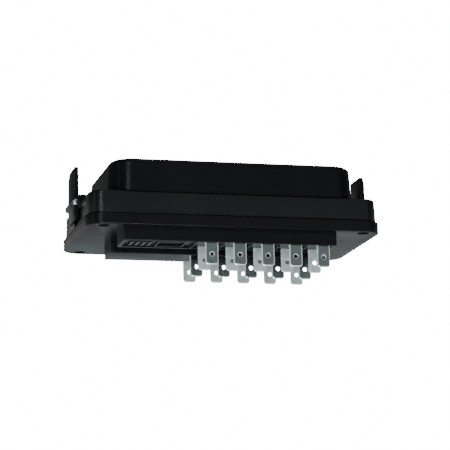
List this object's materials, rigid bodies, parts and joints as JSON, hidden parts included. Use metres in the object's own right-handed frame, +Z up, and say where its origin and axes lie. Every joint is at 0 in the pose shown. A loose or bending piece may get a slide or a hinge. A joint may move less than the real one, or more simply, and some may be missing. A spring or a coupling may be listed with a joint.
{
  "type": "fuse box panel",
  "caption": "Automotive blade-fuse box with a flanged base, male blade tabs in banks below, plug-in fuses and a domed lift-off lid held by squeeze latches.",
  "frame": {"origin": "on the flange's underside, which meets the panel, halfway along the flange and midway between the two banks of terminals", "axes": "+Z up through the lid, away from the panel; X along the box, with the live fuse positions towards +X; -Y towards the front, the edge that the banks stand nearer to"},
  "size_m": [0.1464, 0.073, 0.0498],
  "materials": {
    "base_plastic": "satin moulded black",
    "lid_plastic": "satin moulded black",
    "latch_plastic": "satin moulded black",
    "pin_steel": "plated, bright",
    "terminal_metal": "tin plated, stamped",
    "fuse_metal": "bare zinc alloy",
    "fuse_red": "tinted, translucent",
    "fuse_blue": "tinted, translucent",
    "fuse_yellow": "tinted, translucent",
    "fuse_clear": "clear, translucent",
    "fuse_green": "tinted, translucent"
  },
  "bodies": {
    "base": {"base": "base_plastic", "terminal_a1": "terminal_metal", "terminal_a2": "terminal_metal", "terminal_a3": "terminal_metal", "terminal_a4": "terminal_metal", "terminal_a5": "terminal_metal", "terminal_b1": "terminal_metal", "terminal_b2": "terminal_metal", "terminal_b3": "terminal_metal", "terminal_b4": "terminal_metal", "terminal_b5": "terminal_metal", "terminal_c1": "terminal_metal", "terminal_c2": "terminal_metal", "terminal_c3": "terminal_metal", "terminal_c4": "terminal_metal", "terminal_c5": "terminal_metal", "terminal_d1": "terminal_metal", "terminal_d2": "terminal_metal", "terminal_d3": "terminal_metal", "terminal_d4": "terminal_metal", "terminal_d5": "terminal_metal"},
    "lid": {"lid": "lid_plastic", "latch_pin_left": "pin_steel", "latch_pin_right": "pin_steel"},
    "latch_left": {"latch_left": "latch_plastic"},
    "latch_right": {"latch_right": "latch_plastic"},
    "fuse_01": {"fuse_body_01": "fuse_red", "fuse_element_01": "fuse_metal"},
    "fuse_02": {"fuse_body_02": "fuse_blue", "fuse_element_02": "fuse_metal"},
    "fuse_03": {"fuse_body_03": "fuse_yellow", "fuse_element_03": "fuse_metal"},
    "fuse_04": {"fuse_body_04": "fuse_clear", "fuse_element_04": "fuse_metal"},
    "fuse_05": {"fuse_body_05": "fuse_green", "fuse_element_05": "fuse_metal"},
    "fuse_06": {"fuse_body_06": "fuse_red", "fuse_element_06": "fuse_metal"},
    "fuse_07": {"fuse_body_07": "fuse_blue", "fuse_element_07": "fuse_metal"},
    "fuse_08": {"fuse_body_08": "fuse_yellow", "fuse_element_08": "fuse_metal"},
    "fuse_09": {"fuse_body_09": "fuse_clear", "fuse_element_09": "fuse_metal"},
    "fuse_10": {"fuse_body_10": "fuse_green", "fuse_element_10": "fuse_metal"}
  },
  "joints": [
    {"name": "lid_lift", "type": "slide", "parent": "base", "child": "lid", "axis": [0, 0, 1], "range_m": [0, 0.03]},
    {"name": "latch_left_pivot", "type": "hinge", "parent": "lid", "child": "latch_left", "pos_m": [-0.07135, 0.00735, 0.0158], "axis": [0, 1, 0], "range_deg": [0, 9], "stiffness_Nm_per_rad": 0.5},
    {"name": "latch_right_pivot", "type": "hinge", "parent": "lid", "child": "latch_right", "pos_m": [0.07135, 0.00735, 0.0158], "axis": [0, -1, 0], "range_deg": [0, 9], "stiffness_Nm_per_rad": 0.5},
    {"name": "fuse_01_pull", "type": "slide", "parent": "base", "child": "fuse_01", "axis": [0, 0, 1], "range_m": [0, 0.0075]},
    {"name": "fuse_02_pull", "type": "slide", "parent": "base", "child": "fuse_02", "axis": [0, 0, 1], "range_m": [0, 0.0075]},
    {"name": "fuse_03_pull", "type": "slide", "parent": "base", "child": "fuse_03", "axis": [0, 0, 1], "range_m": [0, 0.0075]},
    {"name": "fuse_04_pull", "type": "slide", "parent": "base", "child": "fuse_04", "axis": [0, 0, 1], "range_m": [0, 0.0075]},
    {"name": "fuse_05_pull", "type": "slide", "parent": "base", "child": "fuse_05", "axis": [0, 0, 1], "range_m": [0, 0.0075]},
    {"name": "fuse_06_pull", "type": "slide", "parent": "base", "child": "fuse_06", "axis": [0, 0, 1], "range_m": [0, 0.0075]},
    {"name": "fuse_07_pull", "type": "slide", "parent": "base", "child": "fuse_07", "axis": [0, 0, 1], "range_m": [0, 0.0075]},
    {"name": "fuse_08_pull", "type": "slide", "parent": "base", "child": "fuse_08", "axis": [0, 0, 1], "range_m": [0, 0.0075]},
    {"name": "fuse_09_pull", "type": "slide", "parent": "base", "child": "fuse_09", "axis": [0, 0, 1], "range_m": [0, 0.0075]},
    {"name": "fuse_10_pull", "type": "slide", "parent": "base", "child": "fuse_10", "axis": [0, 0, 1], "range_m": [0, 0.0075]}
  ]
}
